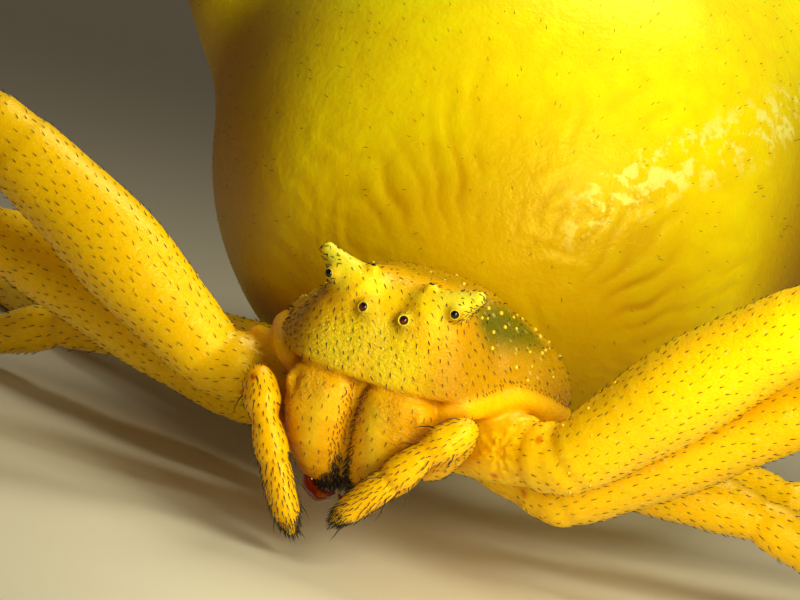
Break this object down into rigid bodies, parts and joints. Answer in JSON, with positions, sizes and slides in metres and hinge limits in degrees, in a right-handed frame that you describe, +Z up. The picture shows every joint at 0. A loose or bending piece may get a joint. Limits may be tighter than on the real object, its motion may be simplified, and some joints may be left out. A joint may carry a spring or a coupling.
{
  "type": "crab spider",
  "caption": "Still life-size model of a yellow female crab spider with horned eye tubercles, raised front legs and a broad, swollen abdomen resting on the floor.",
  "frame": {"origin": "on the floor under the middle of the bounding box", "axes": "+Z up, the spider faces -Y and its left side is towards +X"},
  "size_m": [0.0214, 0.0154, 0.0069],
  "materials": {
    "body": "waxy translucent golden-yellow cuticle, with pale granules and orange shadows in the folds",
    "limb": "waxy translucent yellow cuticle with rows of short dark bristles",
    "abdomen": "finely wrinkled, satin, saturated yellow cuticle",
    "fang": "glossy dark red",
    "eye": "clear gloss over black, the two front middle eyes dark red"
  },
  "bodies": {
    "root": {"abdomen": "abdomen", "carapace": "body", "chelicera_left": "body", "chelicera_right": "body", "eye_back_middle_left": "eye", "eye_back_middle_right": "eye", "eye_back_side_left": "eye", "eye_back_side_right": "eye", "eye_front_middle_left": "eye", "eye_front_middle_right": "eye", "eye_front_side_left": "eye", "eye_front_side_right": "eye", "fang_left": "fang", "fang_right": "fang", "labium": "body", "leg_left_1_coxa": "limb", "leg_left_1_femur": "limb", "leg_left_1_foot": "limb", "leg_left_1_tibia": "limb", "leg_left_2_coxa": "limb", "leg_left_2_femur": "limb", "leg_left_2_foot": "limb", "leg_left_2_tibia": "limb", "leg_left_3_coxa": "limb", "leg_left_3_femur": "limb", "leg_left_3_foot": "limb", "leg_left_3_tibia": "limb", "leg_left_4_coxa": "limb", "leg_left_4_femur": "limb", "leg_left_4_foot": "limb", "leg_left_4_tibia": "limb", "leg_right_1_coxa": "limb", "leg_right_1_femur": "limb", "leg_right_1_foot": "limb", "leg_right_1_tibia": "limb", "leg_right_2_coxa": "limb", "leg_right_2_femur": "limb", "leg_right_2_foot": "limb", "leg_right_2_tibia": "limb", "leg_right_3_coxa": "limb", "leg_right_3_femur": "limb", "leg_right_3_foot": "limb", "leg_right_3_tibia": "limb", "leg_right_4_coxa": "limb", "leg_right_4_femur": "limb", "leg_right_4_foot": "limb", "leg_right_4_tibia": "limb", "maxilla_left": "body", "maxilla_right": "body", "palp_left_femur": "limb", "palp_left_tarsus": "limb", "palp_left_tibia": "limb", "palp_right_femur": "limb", "palp_right_tarsus": "limb", "palp_right_tibia": "limb", "pedicel": "body", "spinnerets": "body", "sternum": "body"}
  },
  "joints": []
}
